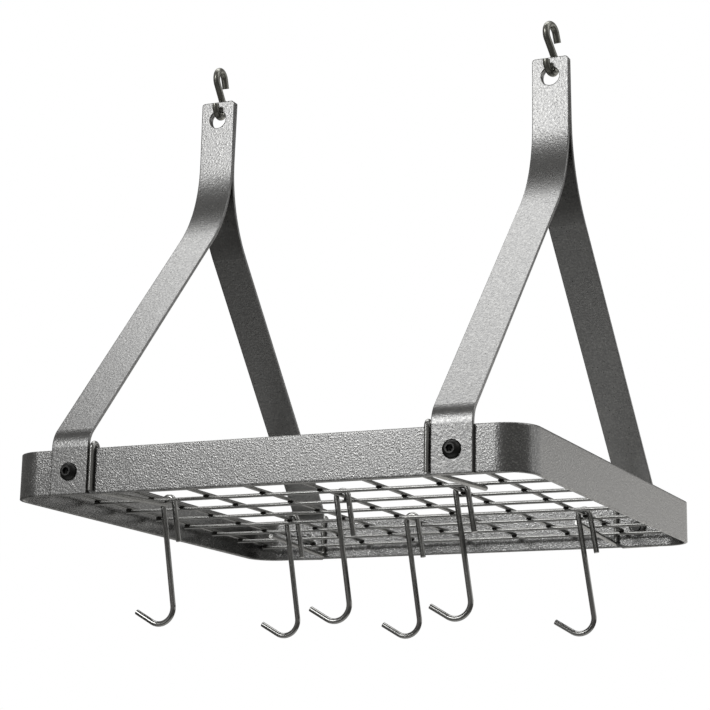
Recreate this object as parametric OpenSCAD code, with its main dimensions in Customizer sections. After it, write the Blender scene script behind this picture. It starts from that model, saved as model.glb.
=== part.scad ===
// Hanging pot rack: a flat-bar rim and a welded wire grid, hung from two S-hooks.
// Millimetres, +Z up, +X to the right, +Y to the rear.
// The origin is where the ceiling hooks carry the rack: midway between the two
// S-hooks, at the inside top of their upper loops.

/* [Rim] */
// outside width of the rim, left to right
rack_width = 424; // [400:1:460]
// outside depth of the rim, front to rear
rack_depth = 424; // [400:1:460]
// height of the rim's flat bar
rim_height = 35; // [32:0.5:45]
// thickness of the rim's flat bar
rim_thickness = 3; // [2.5:0.1:4]
// outside radius of the rim's four corners
rim_corner_radius = 25; // [15:0.5:26]
// rounding along the edges of the rim and the straps
bar_edge_radius = 0.6; // [0.3:0.1:1.2]

/* [Straps] */
// width of each strap's flat bar
strap_width = 32; // [26:0.5:36]
// thickness of each strap's flat bar
strap_thickness = 3.2; // [2.6:0.1:3.5]
// distance from the rim's end to the middle of a front strap
strap_inset = 56; // [50:0.5:66]
// distance from the rim's end to the middle of a rear strap's foot
rear_strap_inset = 50; // [48:0.5:66]
// height of the strap tops above the rim's lower edge
strap_top_height = 382; // [370:1:420]
// height at which the foot's line meets the sloping arm's line
lower_bend_height = 44.5; // [44.5:0.5:50]
// inside radius of the bend above the rim
lower_bend_radius = 19; // [10:0.5:19]
// height at which the sloping arm's line meets the top plate's line
upper_bend_height = 280.5; // [270:0.5:290]
// inside radius of the bend below the top plate
upper_bend_radius = 117; // [60:1:130]
// radius of the top plate's upper corners
strap_corner_radius = 3; // [1:0.5:8]
// diameter of the hole for the S-hook
hanger_hole_diameter = 16; // [15.5:0.5:19]
// distance from the strap's top down to the hole's centre
hanger_hole_drop = 16.1; // [14.7:0.1:16.3]

/* [Bolts and nuts] */
// height of the bolts above the rim's lower edge
bolt_height = 17.5; // [14:0.5:20]
// thread diameter of the button-head bolts
bolt_diameter = 8; // [6:0.5:8]
// radial clearance of the bolt holes
bolt_hole_clearance = 0.3; // [0.1:0.05:0.5]
// diameter of the bolt's button head
bolt_head_diameter = 14; // [12:0.5:16]
// height of the bolt's button head
bolt_head_height = 4.4; // [3.4:0.1:5]
// width across the flats of the bolt's hexagon socket
bolt_socket_width = 5; // [4:0.5:6]
// depth of the bolt's hexagon socket
bolt_socket_depth = 2.6; // [1.5:0.1:2.8]
// depth of the drill point below the socket's floor
bolt_drill_depth = 1.2; // [0.8:0.1:1.4]
// length of the bolt past the nut
bolt_end_length = 2; // [0.5:0.1:2]
// width across the flats of the thin hexagon nuts
nut_width = 13; // [12:0.5:13]
// thickness of the thin hexagon nuts
nut_thickness = 4; // [3:0.1:4]

/* [Wire grid] */
// diameter of the grid's wires
wire_diameter = 3; // [2.5:0.1:4]
// height of the lengthwise wires' centres above the rim's lower edge
grid_height = 11.2; // [10.5:0.1:14]
// distance from the wires' ends to the rim's inner face
grid_edge_gap = 6.5; // [6.5:0.1:12]
// length of each wire past the outermost wire that it crosses
wire_overhang = 2.5; // [2:0.1:4]

/* [Grid hooks] */
// diameter of the rods that carry the grid
rod_diameter = 4; // [3:0.1:4]
// space between a rod and the strap beside it
rod_strap_gap = 1.2; // [1.2:0.1:3]
// height of a rod's outer end above the rim's lower edge
rod_end_height = 2.3; // [1:0.1:12]
// radius of the bend below the rod's inner leg, to the rod's centre line
rod_bend_radius = 4; // [3:0.1:6]
// height of the rod's centre line where it passes under the rim's first wires
rod_foot_height = 2.8; // [2.4:0.1:4]
// length of the rod past the wire that it is welded to
rod_tip_length = 1; // [0.5:0.1:1.2]

/* [S-hooks] */
// wire diameter of the S-hooks
hanger_wire = 6; // [4.5:0.1:6.2]
// inside width of each loop of the S-hooks
hanger_loop_width = 11; // [10.7:0.1:11.5]
// distance between the centres of the two loops of an S-hook
hanger_loop_distance = 25.5; // [24:0.1:32]
// straight length at the S-hook's lower tip
hanger_lower_tip = 0.5; // [0.5:0.1:3]
// straight length at the S-hook's upper tip
hanger_upper_tip = 8; // [1:0.1:10]
// angle by which the upper tip opens away from the S-hook's shank, in degrees
hanger_tip_flare = 22; // [0:1:35]
// turn of the left S-hook about its vertical axis, in degrees
left_hanger_turn = 3; // [-10:1:10]
// turn of the right S-hook about its vertical axis, in degrees
right_hanger_turn = -10; // [-10:1:10]

/* [Pot hooks] */
// wire diameter of the pot hooks
hook_wire = 4.4; // [3.5:0.1:4.6]
// space all round the grid wire that a pot hook hangs on
hook_hang_gap = 1.4; // [1:0.1:2]
// length of the pot hook's straight long leg
hook_leg_length = 83.5; // [50:0.5:110]
// lean of the long leg from the vertical, in degrees
hook_leg_lean = 8.8; // [5:0.1:10]
// length of the short leg behind the grid wire
hook_short_length = 33; // [20:0.5:40]
// lean of the short leg from the vertical, in degrees
hook_short_lean = 9.8; // [5:0.1:15]
// radius of the lower bend, to the wire's centre line
hook_bend_radius = 12.5; // [8:0.5:16]
// rise of the straight tip above the horizontal, in degrees
hook_tip_rise = 30; // [10:1:60]
// length of the straight tip
hook_tip_length = 17; // [8:0.5:25]
// distance of pot hook 1 in front of the crossing behind it
front_hook_offset = 22; // [8:0.5:40]
// distance of pot hook 4 in front of the crossing behind it
rear_hook_offset = 17; // [8:0.5:40]
// distance of pot hook 3 in front of the place beside the nearest crossing
neighbour_gap = 5; // [1:0.5:30]

/* [Hidden] */
$fn = 64;
// clearance between pieces of different bodies
loose = 0.3;
// clearance between pieces that are welded or bolted to each other
weld = 0.05;
// drop of the rods' crown centres below the rim's upper edge
crown_drop = 0.2;
// play of the S-hooks' lower loops past the plates that rest in them
loop_play = 0.4;
// the grid has nine wires each way
half_count = 4;
// each bend laps over the straights beside it, and is this much fuller all round
bend_lap = 0.1;
bend_swell = 0.03;

// straps
strap_x = rack_width / 2 - strap_inset;
rear_strap_x = rack_width / 2 - rear_strap_inset;
foot_face = rack_depth / 2;
arm_rise = upper_bend_height - lower_bend_height;
arm_run = foot_face;
arm_turn = atan2(arm_run, arm_rise);
bend_tan = tan(arm_turn / 2);
strap_mid = strap_thickness / 2;
lower_radius = lower_bend_radius + strap_mid;
upper_radius = upper_bend_radius + strap_mid;
// heights of the two corners of the strap's centre line
lower_corner = lower_bend_height - strap_mid * bend_tan;
upper_corner = upper_bend_height - strap_mid * bend_tan;
foot_length = lower_corner - lower_radius * bend_tan;
plate_start = upper_corner + upper_radius * bend_tan;
arm_length = norm([arm_run, arm_rise]) - (lower_radius + upper_radius) * bend_tan;

// bolts
bolt_reach = strap_thickness + rim_thickness + nut_thickness + bolt_end_length;

// grid
grid_half_x = rack_width / 2 - rim_thickness - grid_edge_gap;
grid_half_y = rack_depth / 2 - rim_thickness - grid_edge_gap;
pitch_x = (grid_half_x - wire_overhang) / half_count;
pitch_y = (grid_half_y - wire_overhang) / half_count;
cross_height = grid_height + wire_diameter + weld;

// rods that hook over the rim
rod_inside = rim_thickness / 2 + loose;
rod_crown = rod_inside + rod_diameter / 2;
rod_beside_strap = strap_width / 2 + rod_strap_gap + rod_diameter / 2;
rod_y = rack_depth / 2 - rim_thickness / 2;
rod_crown_height = rim_height - crown_drop;
rod_weld_row = 2;
// slope of the rod's tail, which rises until it meets the wire that it is welded to
rod_tail_start = rod_y - rod_crown - rod_bend_radius;
rod_tail_run = rod_tail_start - rod_weld_row * pitch_y;
rod_tail_rise = grid_height - (wire_diameter + rod_diameter) / 2 - weld - rod_foot_height;
rod_slope = atan2(rod_tail_rise, rod_tail_run);

// S-hooks
hanger_radius = (hanger_loop_width + hanger_wire) / 2;
hanger_slant = asin(2 * hanger_radius / hanger_loop_distance);
hanger_shank = hanger_loop_distance * cos(hanger_slant);
hole_height = strap_top_height - hanger_hole_drop;
hole_top = hole_height + hanger_hole_diameter / 2;
// sideways lean of a rear strap, which hangs from the hole above the front strap's place
rear_lean = atan2(rear_strap_x - strap_x, hole_height - bolt_height);
loop_inside = hanger_loop_width / 2;
// the plates' two thicknesses rest inside the lower loop
loop_height = hole_top + sqrt(pow(loop_inside, 2) - pow(strap_thickness, 2)) - loop_play;
seat_height = loop_height + hanger_loop_distance + loop_inside;

// pot hooks
hook_crown = wire_diameter / 2 + hook_hang_gap + hook_wire / 2;
hook_crown_height = cross_height + wire_diameter / 2 + loose - (hook_crown - hook_wire / 2);
beside_wire = (wire_diameter + hook_wire) / 2 + loose;
// grid wire and place along it of each pot hook
hook_column = [-3, -2, 0, 0, 2, 3];
hook_place = [
    -pitch_y - front_hook_offset,
    pitch_y + beside_wire,
    -pitch_y - beside_wire - neighbour_gap,
    2 * pitch_y - rear_hook_offset,
    -pitch_y - beside_wire,
    2 * pitch_y - beside_wire
];

// Moves a piece from the rim's lower edge to the hanging origin.
module hung() {
    translate([0, 0, -seat_height]) children();
}

// Stands a drawing in the XY plane up in the YZ plane: X becomes Y and Y becomes Z.
module in_side_plane() {
    rotate([90, 0, 90]) children();
}

// Stands a drawing in the XY plane up in the XZ plane: Y becomes Z.
module in_front_plane() {
    rotate([90, 0, 0]) children();
}

// Distance from the rack's middle to the middle of a strap's foot.
function foot_x(rear) = rear == 1 ? rear_strap_x : strap_x;

// Places a piece in one corner of the rack, mirrored so that the front left is the pattern.
module at_corner(right, rear) {
    mirror([right, 0, 0]) mirror([0, rear, 0]) children();
}

// Cross section of a flat bar with rounded edges, centred, its width along Y.
module bar_section(width, thickness, swell = 0) {
    edge = bar_edge_radius + swell;
    wide = width + 2 * swell;
    thick = thickness + 2 * swell;
    square([thick - 2 * edge, wide], center = true);
    square([thick, wide - 2 * edge], center = true);
    for (x = [-1, 1], y = [-1, 1])
        translate([x * (thick / 2 - edge), y * (wide / 2 - edge)]) circle(r = edge);
}

// Angle that a bend of this radius turns over the length of its lap.
function lap_angle(radius) = bend_lap / radius * 180 / PI;

// Straight round wire from a to b in the XY plane.
module wire_run(a, b, diameter) {
    step = b - a;
    translate([a[0], a[1], 0])
        rotate([0, 0, atan2(step[1], step[0])])
            rotate([0, 90, 0]) cylinder(h = norm(step), d = diameter);
}

// Bent round wire about a centre in the XY plane.
module wire_bend(centre, radius, start, turn, diameter) {
    lap = lap_angle(radius);
    translate([centre[0], centre[1], 0])
        rotate([0, 0, start - lap])
            rotate_extrude(angle = turn + 2 * lap)
                translate([radius, 0]) circle(d = diameter + 2 * bend_swell);
}

// Rim
module rim_side(length, face) {
    translate([0, face - rim_thickness / 2, rim_height / 2])
        rotate([90, 0, 90])
            linear_extrude(height = length, center = true) bar_section(rim_height, rim_thickness);
}

module rim() {
    side_x = rack_width - 2 * rim_corner_radius;
    side_y = rack_depth - 2 * rim_corner_radius;
    color("#8f8f8f") hung() difference() {
        union() {
            for (turn = [0, 180]) rotate([0, 0, turn]) rim_side(side_x, rack_depth / 2);
            for (turn = [90, 270]) rotate([0, 0, turn]) rim_side(side_y, rack_width / 2);
            for (x = [0, 1], y = [0, 1])
                mirror([x, 0, 0]) mirror([0, y, 0])
                    translate([side_x / 2, side_y / 2, rim_height / 2])
                        rotate_extrude(angle = 90)
                            translate([rim_corner_radius - rim_thickness / 2, 0])
                                bar_section(rim_height, rim_thickness);
        }
        for (right = [0, 1], rear = [0, 1])
            at_corner(right, rear) translate([-foot_x(rear), -rack_depth / 2, bolt_height]) rotate([90, 0, 0])
                cylinder(h = 4 * rim_thickness, d = bolt_diameter + 2 * bolt_hole_clearance, center = true);
    }
}

// Strap: foot, bend, sloping arm, long bend and top plate
module strap_run(start, turn, length) {
    translate([start[0], start[1], 0]) rotate([0, 0, turn]) rotate([-90, 0, 0])
        linear_extrude(height = length) bar_section(strap_width, strap_thickness);
}

module strap_bend(centre, radius, start) {
    lap = lap_angle(radius);
    translate([centre[0], centre[1], 0]) rotate([0, 0, start - lap])
        rotate_extrude(angle = arm_turn + 2 * lap)
            translate([radius, 0]) bar_section(strap_width, strap_thickness, bend_swell);
}

module strap_path() {
    // in this drawing X is the depth and Y is the height
    foot_middle = -(foot_face + strap_mid);
    low_centre = [foot_middle + lower_radius, foot_length];
    arm_start = low_centre + lower_radius * [-cos(arm_turn), sin(arm_turn)];
    high_centre = [-strap_mid - upper_radius, plate_start];
    strap_run([foot_middle, 0], 0, foot_length);
    strap_bend(low_centre, lower_radius, 180 - arm_turn);
    strap_run(arm_start, -arm_turn, arm_length);
    strap_bend(high_centre, upper_radius, -arm_turn);
    strap_run([-strap_mid, plate_start], 0, strap_top_height - plate_start);
}

// Outline that trims the strap's top corners, seen from the front.
module strap_top_outline() {
    round_x = strap_width / 2 - strap_corner_radius;
    round_y = strap_top_height - strap_corner_radius;
    translate([-strap_width / 2 - 1, -1]) square([strap_width + 2, round_y + 1]);
    translate([-round_x, 0]) square([2 * round_x, strap_top_height]);
    for (x = [-round_x, round_x]) translate([x, round_y]) circle(r = strap_corner_radius);
}

module strap(right, rear) {
    color("#a6a6a6") hung() at_corner(right, rear)
        difference() {
            translate([-strap_x, 0, hole_height]) rotate([0, rear * rear_lean, 0])
                translate([0, 0, -hole_height]) intersection() {
                    in_side_plane() strap_path();
                    translate([0, 1, 0]) in_front_plane()
                        linear_extrude(height = foot_face + 10) strap_top_outline();
                }
            translate([-strap_x, -strap_mid, hole_height]) rotate([90, 0, 0])
                cylinder(h = strap_thickness + 4, d = hanger_hole_diameter, center = true);
            translate([-foot_x(rear), -foot_face - strap_mid, bolt_height]) rotate([90, 0, 0])
                cylinder(h = strap_thickness + 4, d = bolt_diameter + 2 * bolt_hole_clearance, center = true);
        }
}

// Button-head bolt with a hexagon socket, its shank to the rear
module bolt(right, rear) {
    head_radius = bolt_head_diameter / 2;
    // the head is a slice of a sphere above a short cylindrical land
    land = 0.8;
    dome_height = bolt_head_height - land;
    flat_radius = bolt_socket_width * 0.75;
    dome_drop = (pow(head_radius, 2) - pow(flat_radius, 2) - pow(dome_height, 2)) / (2 * dome_height);
    dome_radius = norm([head_radius, dome_drop]);
    socket_floor = bolt_head_height - bolt_socket_depth;
    // the drill point's cone reaches a little into the socket
    cone_lap = 0.15;
    cone_radius = 0.4 * bolt_socket_width * (1 + cone_lap / bolt_drill_depth);
    color("#2a2a2a") hung() at_corner(right, rear)
        translate([-foot_x(rear), -foot_face - strap_thickness - weld, bolt_height]) rotate([90, 0, 0])
            difference() {
                union() {
                    cylinder(h = land, d = bolt_head_diameter);
                    intersection() {
                        translate([0, 0, land - dome_drop]) sphere(r = dome_radius);
                        cylinder(h = bolt_head_height, d = bolt_head_diameter);
                    }
                    translate([0, 0, -bolt_reach - weld])
                        cylinder(h = bolt_reach + weld + land, d = bolt_diameter);
                }
                translate([0, 0, socket_floor])
                    cylinder(h = bolt_socket_depth + 1, d = bolt_socket_width / cos(30), $fn = 6);
                translate([0, 0, socket_floor - bolt_drill_depth])
                    cylinder(h = bolt_drill_depth + cone_lap, r1 = 0, r2 = cone_radius);
            }
}

// Thin hexagon nut, welded to the rim's inner face
module nut(right, rear) {
    color("#8f8f8f") hung() at_corner(right, rear)
        translate([-foot_x(rear), -rack_depth / 2 + rim_thickness + weld, bolt_height]) rotate([-90, 0, 0])
            difference() {
                intersection() {
                    cylinder(h = nut_thickness, d = nut_width / cos(30), $fn = 6);
                    translate([0, 0, nut_thickness / 2 - 9.5]) sphere(r = 12.5);
                    translate([0, 0, nut_thickness / 2 + 9.5]) sphere(r = 12.5);
                }
                translate([0, 0, -1]) cylinder(h = nut_thickness + 2, d = bolt_diameter + 2 * weld);
            }
}

// Lengthwise wire in one of nine rows, counted from the front
module long_wire(row) {
    color("#6a6a68") hung()
        translate([0, (row - half_count - 1) * pitch_y, grid_height]) rotate([0, 90, 0])
            cylinder(h = 2 * grid_half_x, d = wire_diameter, center = true);
}

// Cross wire in one of nine columns, counted from the left
module cross_wire(column) {
    color("#6a6a68") hung()
        translate([(column - half_count - 1) * pitch_x, 0, cross_height]) rotate([90, 0, 0])
            cylinder(h = 2 * grid_half_y, d = wire_diameter, center = true);
}

// Rod that hooks over the rim beside a strap and runs under the grid
module grid_hook(right, rear) {
    inner_leg = -rod_y + rod_crown;
    outer_leg = -rod_y - rod_crown;
    // bend from straight down to the tail's slope
    bend_centre = [inner_leg + rod_bend_radius, rod_foot_height + rod_bend_radius];
    bend_turn = 90 + rod_slope;
    tail_start = bend_centre + rod_bend_radius * [sin(rod_slope), -cos(rod_slope)];
    tail_length = norm([rod_tail_run, rod_tail_rise]) + rod_tip_length;
    tail_end = tail_start + tail_length * [cos(rod_slope), sin(rod_slope)];
    color("#7c7c7a") hung() at_corner(right, rear)
        translate([rod_beside_strap - foot_x(rear), 0, 0]) in_side_plane() {
            wire_run([outer_leg, rod_end_height], [outer_leg, rod_crown_height], rod_diameter);
            wire_bend([-rod_y, rod_crown_height], rod_crown, 0, 180, rod_diameter);
            wire_run([inner_leg, bend_centre[1]], [inner_leg, rod_crown_height], rod_diameter);
            wire_bend(bend_centre, rod_bend_radius, 180, bend_turn, rod_diameter);
            wire_run(tail_start, tail_end, rod_diameter);
        }
}

// S-hook between the strap plates and the ceiling
module hanger(side, turn) {
    low = [0, loop_height];
    high = [0, loop_height + hanger_loop_distance];
    r = hanger_radius;
    tangent = r * [cos(hanger_slant), sin(hanger_slant)];
    // the upper loop ends where the tip starts to open
    tip_side = [cos(hanger_tip_flare), sin(hanger_tip_flare)];
    tip_start = high + r * tip_side;
    tip_end = tip_start + hanger_upper_tip * [tip_side[1], -tip_side[0]];
    color("#3f3f3a") hung()
        translate([side * strap_x, 0, 0]) rotate([0, 0, turn]) in_side_plane() {
            wire_run([-r, low[1]], [-r, low[1] + hanger_lower_tip], hanger_wire);
            wire_bend(low, r, 180, 180 + hanger_slant, hanger_wire);
            wire_run(low + tangent, high - tangent, hanger_wire);
            wire_bend(high, r, hanger_tip_flare, 180 + hanger_slant - hanger_tip_flare, hanger_wire);
            wire_run(tip_start, tip_end, hanger_wire);
        }
}

// Pot hook: short leg, crown over the grid wire, long leg, lower bend and tip
module pot_hook(number) {
    x = hook_column[number - 1] * pitch_x;
    y = hook_place[number - 1];
    crown = [0, hook_crown_height];
    left = [-cos(hook_leg_lean), -sin(hook_leg_lean)];
    right = [cos(hook_short_lean), sin(hook_short_lean)];
    leg_start = crown + hook_crown * left;
    leg_end = leg_start + hook_leg_length * [-left[1], left[0]];
    short_start = crown + hook_crown * right;
    short_end = short_start + hook_short_length * [right[1], -right[0]];
    bend_centre = leg_end + hook_bend_radius * left;
    bend_turn = 90 + hook_tip_rise + hook_leg_lean;
    tip_angle = hook_leg_lean - bend_turn;
    tip_start = bend_centre + hook_bend_radius * [cos(tip_angle), sin(tip_angle)];
    tip_end = tip_start + hook_tip_length * [sin(tip_angle), -cos(tip_angle)];
    color("#4c4c4a") hung() translate([x, y, 0]) in_front_plane() {
        wire_run(short_end, short_start, hook_wire);
        wire_bend(crown, hook_crown, hook_short_lean, 180 + hook_leg_lean - hook_short_lean, hook_wire);
        wire_run(leg_start, leg_end, hook_wire);
        wire_bend(bend_centre, hook_bend_radius, tip_angle, bend_turn, hook_wire);
        wire_run(tip_start, tip_end, hook_wire);
    }
}

rim();
strap(0, 0);  // strap_front_left
strap(1, 0);  // strap_front_right
strap(0, 1);  // strap_rear_left
strap(1, 1);  // strap_rear_right
bolt(0, 0);  // bolt_front_left
bolt(1, 0);  // bolt_front_right
bolt(0, 1);  // bolt_rear_left
bolt(1, 1);  // bolt_rear_right
nut(0, 0);  // nut_front_left
nut(1, 0);  // nut_front_right
nut(0, 1);  // nut_rear_left
nut(1, 1);  // nut_rear_right
long_wire(1);  // long_wire_1
long_wire(2);  // long_wire_2
long_wire(3);  // long_wire_3
long_wire(4);  // long_wire_4
long_wire(5);  // long_wire_5
long_wire(6);  // long_wire_6
long_wire(7);  // long_wire_7
long_wire(8);  // long_wire_8
long_wire(9);  // long_wire_9
cross_wire(1);  // cross_wire_1
cross_wire(2);  // cross_wire_2
cross_wire(3);  // cross_wire_3
cross_wire(4);  // cross_wire_4
cross_wire(5);  // cross_wire_5
cross_wire(6);  // cross_wire_6
cross_wire(7);  // cross_wire_7
cross_wire(8);  // cross_wire_8
cross_wire(9);  // cross_wire_9
grid_hook(0, 0);  // grid_hook_front_left
grid_hook(1, 0);  // grid_hook_front_right
grid_hook(0, 1);  // grid_hook_rear_left
grid_hook(1, 1);  // grid_hook_rear_right
hanger(-1, left_hanger_turn);  // hanger_left
hanger(1, right_hanger_turn);  // hanger_right
pot_hook(1);  // pot_hook_1
pot_hook(2);  // pot_hook_2
pot_hook(3);  // pot_hook_3
pot_hook(4);  // pot_hook_4
pot_hook(5);  // pot_hook_5
pot_hook(6);  // pot_hook_6
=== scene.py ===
# %% [markdown]
# # A hanging pot rack, lit like a catalogue picture
# The rack is a square rim of flat steel bar with a welded wire grid inside it.
# Four bent straps carry the rim from two S-hooks, and six loose hooks hang from the grid.
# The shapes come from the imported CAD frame. This script adds the finishes, the small
# details that a maker's drawing leaves out, a soft studio and the camera.

import math

import bpy
from mathutils import Matrix, Vector


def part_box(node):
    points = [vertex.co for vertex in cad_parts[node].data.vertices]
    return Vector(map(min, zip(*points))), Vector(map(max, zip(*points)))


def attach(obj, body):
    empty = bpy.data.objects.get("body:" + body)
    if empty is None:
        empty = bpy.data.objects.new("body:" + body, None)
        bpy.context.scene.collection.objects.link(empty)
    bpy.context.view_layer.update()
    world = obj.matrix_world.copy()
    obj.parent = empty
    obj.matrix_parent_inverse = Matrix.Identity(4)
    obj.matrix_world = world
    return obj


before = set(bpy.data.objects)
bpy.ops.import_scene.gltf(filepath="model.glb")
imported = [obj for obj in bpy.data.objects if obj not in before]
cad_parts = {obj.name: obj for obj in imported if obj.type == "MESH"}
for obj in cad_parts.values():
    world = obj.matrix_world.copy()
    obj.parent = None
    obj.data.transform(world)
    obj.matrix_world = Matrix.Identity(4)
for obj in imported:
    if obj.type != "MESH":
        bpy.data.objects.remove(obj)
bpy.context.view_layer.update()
print("nodes in the frame:", len(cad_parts))

# %% [markdown]
# ## Three helpers for every finish
# Colours are easiest to read as the hex values of a paint chart, but Blender works in
# linear light, so one function turns the first into the second. Another adds a shader node
# with its settings, its plain values and its incoming wires, which keeps each recipe short.
# The third makes an empty material for a recipe to fill. The same nodes could be placed by
# hand in the shader editor, but then every coat would be built twice.

# %% Colour and node helpers
def linear(hex_colour):
    """The linear RGBA of an sRGB hex colour such as #8f8f8d."""
    channels = [int(hex_colour[i:i + 2], 16) / 255 for i in (1, 3, 5)]
    return [c / 12.92 if c <= 0.04045 else ((c + 0.055) / 1.055) ** 2.4 for c in channels] + [1.0]


def add(tree, kind, values=None, links=None, **settings):
    """Adds one node. values are socket constants, and links are (from_node, output) pairs."""
    made = tree.nodes.new(kind)
    for name, value in settings.items():
        setattr(made, name, value)
    for socket, value in (values or {}).items():
        made.inputs[socket].default_value = value
    for socket, (source, output) in (links or {}).items():
        tree.links.new(source.outputs[output], made.inputs[socket])
    return made


def blank(name):
    """An empty material and its node tree, with the output node in place."""
    material = bpy.data.materials.new(name)
    material.use_nodes = True
    tree = material.node_tree
    tree.nodes.clear()
    return material, tree, tree.nodes.new("ShaderNodeOutputMaterial")


MM = 1000.0  # in a metre: the sizes of patterns are thought out in mm, and Blender uses metres
print("a mid grey coat in linear light:", [round(v, 3) for v in linear("#919190")])

# %% [markdown]
# ## Hammered grey coat
# The rim and straps are flat steel bar with a hammertone powder coat: metal flakes in a
# grey resin that pulls itself into small dimples as it cures. The eye sees a soft metal
# gloss broken into bright and dark specks about a millimetre across. On a real bar the
# specks come from the dimples' slopes and hardly from colour, so the side of the rim that
# mirrors an even wall looks smooth. The recipe therefore puts most of the pattern into the
# bump, and only a little into the colour. A Bevel node finds the corners of the bar, where
# the coat is thin and handling has rubbed it brighter and smoother. The lighter colour there
# is also a painted highlight: the line of light that a rounded edge catches.

# %% Hammered coat recipe
PATCH_MM = 6          # width of the cloudy patches in the resin
PIT_SPACING_MM = 4.5  # distance between the places where a pinhole can be
PIT_RADIUS = 0.09     # as a share of that distance


def hammered_coat(name, dark, light, flake, speck_mm, roughness, dimple, edge_mm):
    """A grey hammertone coat. speck_mm is the width of one dimple, and dimple its depth in mm.

    edge_mm says how far in from the bar's corners the coat is rounded and rubbed, and how far its
    colour is painted lighter there, partly as rubbed coat and partly as a painted highlight.
    """
    material, tree, output = blank(name)
    place = add(tree, "ShaderNodeTexCoord")
    specks = add(tree, "ShaderNodeTexNoise",
                 {"Scale": MM / speck_mm, "Detail": 2.0, "Roughness": 0.55},
                 {"Vector": (place, "Object")})
    patches = add(tree, "ShaderNodeTexNoise", {"Scale": MM / PATCH_MM, "Detail": 3.0},
                  {"Vector": (place, "Object")})
    tone = add(tree, "ShaderNodeMath", {1: 0.2}, {0: (patches, "Fac"), 2: (specks, "Fac")},
               operation="MULTIPLY_ADD")
    colour = add(tree, "ShaderNodeValToRGB", links={"Fac": (tone, "Value")})
    colour.color_ramp.elements[0].position = 0.45
    colour.color_ramp.elements[0].color = linear(dark)
    colour.color_ramp.elements[1].position = 0.80
    colour.color_ramp.elements[1].color = linear(flake)
    colour.color_ramp.elements.new(0.66).color = linear(light)

    # pits: a pinhole here and there, where the resin drew back while it cured
    holes = add(tree, "ShaderNodeTexVoronoi", {"Scale": MM / PIT_SPACING_MM},
                {"Vector": (place, "Object")})
    pit = add(tree, "ShaderNodeMath", {1: PIT_RADIUS}, {0: (holes, "Distance")},
              operation="LESS_THAN")
    pitted = add(tree, "ShaderNodeMixRGB", {"Color2": linear("#3a3a39")},
                 {"Fac": (pit, "Value"), "Color1": (colour, "Color")})

    # rubbed corners with a painted edge highlight: the bevelled normal turns away from the face's
    # own only near an edge
    corner = add(tree, "ShaderNodeBevel", {"Radius": edge_mm / MM}, samples=8)
    face = add(tree, "ShaderNodeNewGeometry")
    agree = add(tree, "ShaderNodeVectorMath",
                links={0: (corner, "Normal"), 1: (face, "Normal")}, operation="DOT_PRODUCT")
    near = add(tree, "ShaderNodeMapRange", {"From Min": 0.995, "From Max": 0.93},
               {"Value": (agree, "Value")})
    broken = add(tree, "ShaderNodeMapRange", {"From Min": 0.40, "From Max": 0.62},
                 {"Value": (patches, "Fac")})
    edge_wear_and_highlight = add(tree, "ShaderNodeMath", links={0: (near, "Result"), 1: (broken, "Result")},
                 operation="MULTIPLY")
    # the lighter colour near the edges is partly rubbed coat and partly a painted highlight, the
    # line of light on a rounded edge
    worn_and_highlit = add(tree, "ShaderNodeMixRGB", {"Color2": linear("#c6c6c3")},
               {"Fac": (edge_wear_and_highlight, "Value"), "Color1": (pitted, "Color")})

    # gloss: flakes shine a little more than the resin, and rubbed corners more again
    gloss = add(tree, "ShaderNodeMapRange",
                {"To Min": roughness + 0.07, "To Max": roughness - 0.07},
                {"Value": (specks, "Fac")})
    polished = add(tree, "ShaderNodeMath", {1: -0.08},
                   {0: (edge_wear_and_highlight, "Value"), 2: (gloss, "Result")}, operation="MULTIPLY_ADD")

    # relief: the dimples are deeper in some patches, and nearly gone on the rubbed corners
    deeper = add(tree, "ShaderNodeMapRange",
                 {"From Min": 0.35, "From Max": 0.65, "To Min": 0.45, "To Max": 1.0},
                 {"Value": (patches, "Fac")})
    flatter = add(tree, "ShaderNodeMapRange", {"To Min": 1.0, "To Max": 0.3},
                  {"Value": (near, "Result")})
    depth = add(tree, "ShaderNodeMath",
                links={0: (deeper, "Result"), 1: (flatter, "Result")}, operation="MULTIPLY")
    bump = add(tree, "ShaderNodeBump", {"Distance": dimple / MM},
               {"Strength": (depth, "Value"), "Height": (specks, "Fac"),
                "Normal": (corner, "Normal")})
    shader = add(tree, "ShaderNodeBsdfPrincipled", {"Metallic": 1.0},
                 {"Base Color": (worn_and_highlit, "Color"), "Roughness": (polished, "Value"),
                  "Normal": (bump, "Normal")})
    tree.links.new(shader.outputs["BSDF"], output.inputs["Surface"])
    return material


rim_coat = hammered_coat("hammered_rim_coat", "#828282", "#919190", "#b4b4b3",
                         speck_mm=1.3, roughness=0.28, dimple=0.26, edge_mm=2.2)
strap_coat = hammered_coat("hammered_strap_coat", "#868686", "#919190", "#9e9e9d",
                           speck_mm=1.7, roughness=0.31, dimple=0.21, edge_mm=1.2)
print("coats:", rim_coat.name, strap_coat.name)

# %% [markdown]
# ## Drawn wire, dark rod and black screws
# Wire is pulled through a die, which leaves fine lines along it and a smooth, darker metal,
# so its grain is a noise stretched along the wire. The real lines are too fine to show in
# the picture, so they are drawn about a millimetre wide. The loose hooks are the same kind
# of wire, polished. The two S-hooks carry a thin olive-grey lacquer, whose grain is broad
# and faint, and the button-head screws are black oxide: almost no colour, with a satin
# gloss. An image of brushed steel could give the lines too, but it would need a UV map on
# every wire, and it would stretch round the bends.

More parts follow.
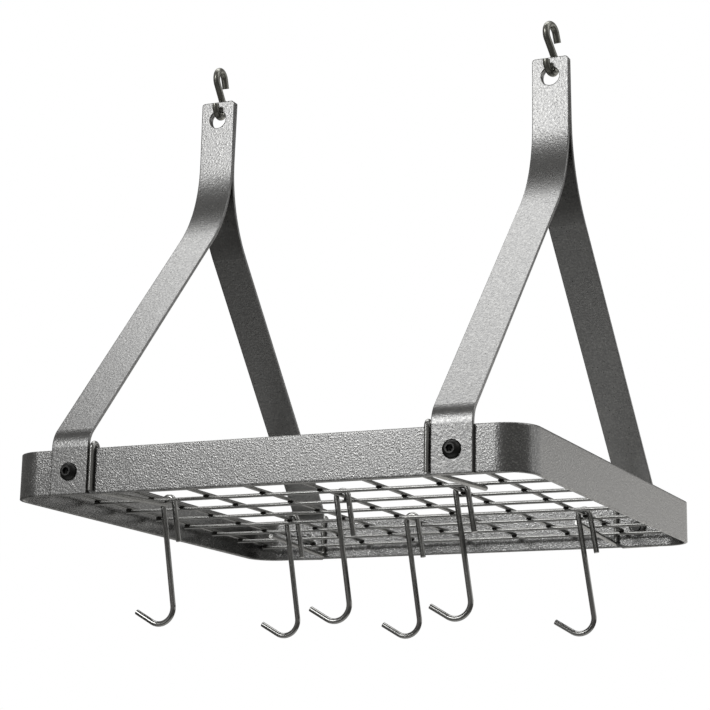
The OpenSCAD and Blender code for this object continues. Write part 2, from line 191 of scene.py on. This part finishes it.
# %% Steel recipe
def drawn_steel(name, dark, light, roughness, grain_mm, stretch=(1, 1, 1)):
    """Bare or thinly coated steel. The grain is stretch times as long along each axis."""
    material, tree, output = blank(name)
    place = add(tree, "ShaderNodeTexCoord")
    drawn = add(tree, "ShaderNodeMapping", {"Scale": [1 / s for s in stretch]},
                {"Vector": (place, "Object")})
    grain = add(tree, "ShaderNodeTexNoise",
                {"Scale": MM / grain_mm, "Detail": 4.0, "Roughness": 0.6},
                {"Vector": (drawn, "Vector")})
    colour = add(tree, "ShaderNodeValToRGB", links={"Fac": (grain, "Fac")})
    colour.color_ramp.elements[0].position = 0.3
    colour.color_ramp.elements[0].color = linear(dark)
    colour.color_ramp.elements[1].position = 0.7
    colour.color_ramp.elements[1].color = linear(light)
    gloss = add(tree, "ShaderNodeMapRange",
                {"To Min": roughness + 0.08, "To Max": roughness - 0.08},
                {"Value": (grain, "Fac")})
    bump = add(tree, "ShaderNodeBump", {"Strength": 0.15, "Distance": 0.05 / MM},
               {"Height": (grain, "Fac")})
    shader = add(tree, "ShaderNodeBsdfPrincipled", {"Metallic": 1.0},
                 {"Base Color": (colour, "Color"), "Roughness": (gloss, "Result"),
                  "Normal": (bump, "Normal")})
    tree.links.new(shader.outputs["BSDF"], output.inputs["Surface"])
    return material


long_wire = drawn_steel("drawn_long_wire", "#8c8c8a", "#a6a6a4", 0.26, 1.0, (20, 1, 1))
cross_wire = drawn_steel("drawn_cross_wire", "#8c8c8a", "#a6a6a4", 0.26, 1.0, (1, 20, 1))
grid_rod = drawn_steel("drawn_grid_rod", "#a0a09e", "#bcbcb9", 0.25, 0.9, (1, 10, 1))
s_hook_lacquer = drawn_steel("olive_s_hook_lacquer", "#91918a", "#a0a098", 0.32, 3.0)
pot_hook_steel = drawn_steel("polished_pot_hook_steel", "#a0a09e", "#b0b0ae", 0.14, 0.9,
                             (1, 1, 14))
black_oxide = drawn_steel("black_oxide_screw", "#353535", "#4c4c4b", 0.36, 0.8)
# near black: partly burnt weld scale, partly painted shade where the wires cross
weld_scale_and_shade = drawn_steel("burnt_weld_scale_and_shade", "#141414", "#34322f", 0.55, 0.5)
print("steels:", ", ".join(m.name for m in (long_wire, cross_wire, grid_rod, s_hook_lacquer,
                                            pot_hook_steel, black_oxide, weld_scale_and_shade)))

# %% [markdown]
# ## Dress the rack
# The CAD pieces come without a finish. Each one's name starts with the kind of piece that it
# is, so one short table says which finish each kind gets. Naming all 43 pieces would work too,
# but a table by kind still holds when a piece is added. The nuts share the rim's coat, which
# keeps them quiet behind it.

# %% Dress the CAD nodes
finishes = {"rim": rim_coat, "strap": strap_coat, "bolt": black_oxide, "nut": rim_coat,
            "long_wire": long_wire, "cross_wire": cross_wire, "grid_hook": grid_rod,
            "hanger": s_hook_lacquer, "pot_hook": pot_hook_steel}
for name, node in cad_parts.items():
    finish = next(finishes[key] for key in finishes if name.startswith(key))
    node.data.materials.clear()
    node.data.materials.append(finish)
print("dressed", len(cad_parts), "nodes")

# %% [markdown]
# ## Weld spots
# Where two wires cross, a resistance welder has pressed and melted them together. What is
# left is a little collar of scale in the corner between them, drawn out along the upper
# wire. The spots are near black. That is partly the scale and partly painted shade, the shade
# that falls in the corner between the wires, and the eye reads them as a dark dash at every
# crossing. It could be a stain in the wires' finish, but from below the spots stand out past
# the wires, so each one is a small lump. One is shaped and then copied to all the crossings,
# which are found from the wires' own boxes.

# %% One weld spot
SPOT_REACH_MM = (2.3, 4.0, 1.7)  # how far the scale reaches from the crossing, each way
LUMP_MM = 0.12                   # how uneven its skin is

bpy.ops.object.select_all(action="DESELECT")
bpy.ops.mesh.primitive_ico_sphere_add(subdivisions=3, radius=1 / MM)
bpy.ops.object.mode_set(mode="EDIT")
bpy.ops.transform.resize(value=SPOT_REACH_MM)
bpy.ops.transform.vertex_random(offset=LUMP_MM / MM, seed=4)
bpy.ops.object.mode_set(mode="OBJECT")
spot = bpy.context.object
for face in spot.data.polygons:
    face.use_smooth = True
spot.name = "weld_and_shade_spot"
# the spot is painted near black, partly as weld scale and partly as the shade between crossing
# wires
spot.data.materials.append(weld_scale_and_shade)
print("weld spot:", len(spot.data.polygons), "faces")

# %% All the crossings
def middle(name):
    """The middle of a node's box."""
    low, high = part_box(name)
    return [(a + b) / 2 for a, b in zip(low, high)]


WIRES = range(1, 10)  # nine each way
spots = []
for row in WIRES:
    for column in WIRES:
        long_at, cross_at = middle(f"long_wire_{row}"), middle(f"cross_wire_{column}")
        place = (cross_at[0], long_at[1], (long_at[2] + cross_at[2]) / 2)
        # every second spot is turned half round, so that neighbours aren't alike
        turned = math.pi * ((row + column) % 2)
        copy = spot.copy()
        copy.data = spot.data.copy()
        copy.data.transform(Matrix.Translation(place) @ Matrix.Rotation(turned, 4, "Z"))
        copy.name = f"weld_and_shade_spot_{row}_{column}"
        bpy.context.scene.collection.objects.link(copy)
        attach(copy, "grid")
        spots.append(copy)
bpy.data.objects.remove(spot)
print("weld spots:", len(spots))

# %% [markdown]
# ## The room
# A rack like this is photographed in front of white paper. The camera sees that paper as
# plain white. The steel sees it too, as a low bright wall behind the rack, with the dark
# room above it. A plain grey world would be simpler, but steel shows what stands round it,
# so the inner faces of the rim would lose the change from bright to dark.

# %% World
PAPER_GLOW = 0.66  # how bright the steel sees the paper, where 1 is plain white

world = bpy.data.worlds.new("white_paper_room")
bpy.context.scene.world = world
world.use_nodes = True
sky = world.node_tree
sky.nodes.clear()
sky_out = add(sky, "ShaderNodeOutputWorld")
rays = add(sky, "ShaderNodeLightPath")
way = add(sky, "ShaderNodeTexCoord")
height = add(sky, "ShaderNodeSeparateXYZ", links={"Vector": (way, "Generated")})
across_paper = add(sky, "ShaderNodeMapRange", {"From Min": 0.80, "From Max": 0.97},
                   {"Value": (height, "Y")}, interpolation_type="SMOOTHSTEP")
up_paper = add(sky, "ShaderNodeMapRange",
               {"From Min": 0.17, "From Max": 0.25, "To Min": 1.0, "To Max": 0.0},
               {"Value": (height, "Z")}, interpolation_type="SMOOTHSTEP")
paper = add(sky, "ShaderNodeMath", links={0: (across_paper, "Result"), 1: (up_paper, "Result")},
            operation="MULTIPLY")
# the rest of the room is a little lighter above the horizon than below it
walls = add(sky, "ShaderNodeMapRange",
            {"From Min": -0.1, "From Max": 0.1, "To Min": 0.10, "To Max": 0.19},
            {"Value": (height, "Z")})
room = add(sky, "ShaderNodeMath", {1: PAPER_GLOW},
           {0: (paper, "Value"), 2: (walls, "Result")}, operation="MULTIPLY_ADD")
lit_room = add(sky, "ShaderNodeBackground", {"Color": (1.0, 0.98, 0.95, 1.0)},
               {"Strength": (room, "Value")})
seen_paper = add(sky, "ShaderNodeBackground", {"Color": (1, 1, 1, 1), "Strength": 1.0})
either = add(sky, "ShaderNodeMixShader", links={0: (rays, "Is Camera Ray"),
                                                1: (lit_room, "Background"),
                                                2: (seen_paper, "Background")})
sky.links.new(either.outputs["Shader"], sky_out.inputs["Surface"])
print("world:", world.name)

# %% [markdown]
# ## The lamps
# The soft box in front on the left stands as high as a tall tripod. Two more hang over the
# rack, and because one is wider than the other, the light overhead fades towards the front.
# The bent straps mirror first the front box and then the upper ones, and the dark gap
# between them makes the bands. Two pale cards on the right and a low one in front lift the
# faces that turn away. One big lamp would be simpler, but then the bands would be missing.

# %% Soft boxes
def soft_box(name, place, aim, width, height, radiance):
    """A rectangular lamp in metres. radiance 1 looks as bright as white paper."""
    lamp = bpy.data.lights.new(name, "AREA")
    lamp.shape = "RECTANGLE"
    lamp.size, lamp.size_y = width, height
    lamp.energy = radiance * math.pi * width * height
    box = bpy.data.objects.new(name, lamp)
    box.location = place
    box.rotation_mode = "QUATERNION"
    box.rotation_quaternion = (Vector(aim) - Vector(place)).to_track_quat("-Z", "Y")
    box.visible_camera = False
    bpy.context.scene.collection.objects.link(box)
    return box


front_box = soft_box("front_soft_box", (-1.62, -4.0, 1.39), (0, 0, -0.3), 1.30, 1.76, 6.0)
top_box = soft_box("overhead_soft_box", (-0.5, 0.6, 2.6), (-0.5, 0.6, 0), 3.0, 1.1, 1.35)
wide_box = soft_box("overhead_wide_box", (-0.55, 0.37, 2.7), (-0.55, 0.37, 0), 3.3, 1.65, 1.3)
side_card = soft_box("side_card", (2.6, 1.75, 0.2), (0, 0, -0.3), 3.3, 1.5, 0.5)
high_card = soft_box("high_side_card", (2.5, 0.3, 2.1), (0, 0, -0.2), 2.6, 2.2, 0.95)
low_card = soft_box("low_front_card", (-1.6, -3.6, -1.35), (0, 0, -0.4), 1.8, 1.0, 0.6)
print("lamps:", ", ".join(lamp.name for lamp in (front_box, top_box, wide_box, side_card,
                                                 high_card, low_card)))

# %% [markdown]
# ## The floor
# Under the rack lies a round of matt pale board. It is too low to be in the picture, but it
# sends light up to the undersides, as a studio floor does. A rectangle would mirror in the
# steel with a hard edge, so this one is round and fades out before its rim.

# %% Floor
FLOOR_RADIUS = 2.2
FADE_FROM, FADE_TO = 1.2, 2.1  # metres from its middle

bpy.ops.object.select_all(action="DESELECT")
bpy.ops.mesh.primitive_circle_add(vertices=96, radius=FLOOR_RADIUS, fill_type="NGON",
                                  location=(0, 0.9, -1.75))
floor = bpy.context.object
floor.name = "studio_floor"
floor_look, tree, output = blank("pale_floor")
place = add(tree, "ShaderNodeTexCoord")
reach = add(tree, "ShaderNodeVectorMath", links={0: (place, "Object")}, operation="LENGTH")
edge = add(tree, "ShaderNodeMapRange", {"From Min": FADE_FROM, "From Max": FADE_TO},
           {"Value": (reach, "Value")}, interpolation_type="SMOOTHSTEP")
matt = add(tree, "ShaderNodeBsdfDiffuse", {"Color": linear("#f4f4f3")})
clear = add(tree, "ShaderNodeBsdfTransparent")
mixed = add(tree, "ShaderNodeMixShader",
            links={0: (edge, "Result"), 1: (matt, "BSDF"), 2: (clear, "BSDF")})
tree.links.new(mixed.outputs["Shader"], output.inputs["Surface"])
floor.data.materials.append(floor_look)
print("floor:", floor.name)

# %% [markdown]
# ## The camera
# The photograph was taken from below and to the right with a long lens, and then cropped,
# so its middle isn't the middle of the lens. A small shift of the lens stands for that.
# The camera could be aimed with a Track To constraint, but its place and its directions were
# worked out together from the rack's straight lines, so they are written down as they are.

# %% Camera
eye = Vector((0.68873, -1.53598, -0.63922))     # in metres from midway between the hooks
across = Vector((0.91874, 0.39462, 0.01396))    # the picture's right
down = Vector((-0.08283, 0.22718, -0.97032))    # the picture's foot
ahead = Vector((-0.38608, 0.89032, 0.24140))    # into the picture
lens = bpy.data.cameras.new("photo_lens")
lens.sensor_width = 36.0
lens.lens = 104.73
lens.shift_x, lens.shift_y = -0.0648, -0.0775
lens.clip_start, lens.clip_end = 0.05, 60.0
camera = bpy.data.objects.new("photo_camera", lens)
turn = Matrix((across, -down, -ahead)).transposed().to_4x4()
camera.matrix_world = Matrix.Translation(eye) @ turn
bpy.context.scene.collection.objects.link(camera)
bpy.context.scene.camera = camera
print("camera looks along", tuple(round(v, 3) for v in ahead))

# %% Colour as it is
bpy.context.scene.view_settings.view_transform = "Standard"
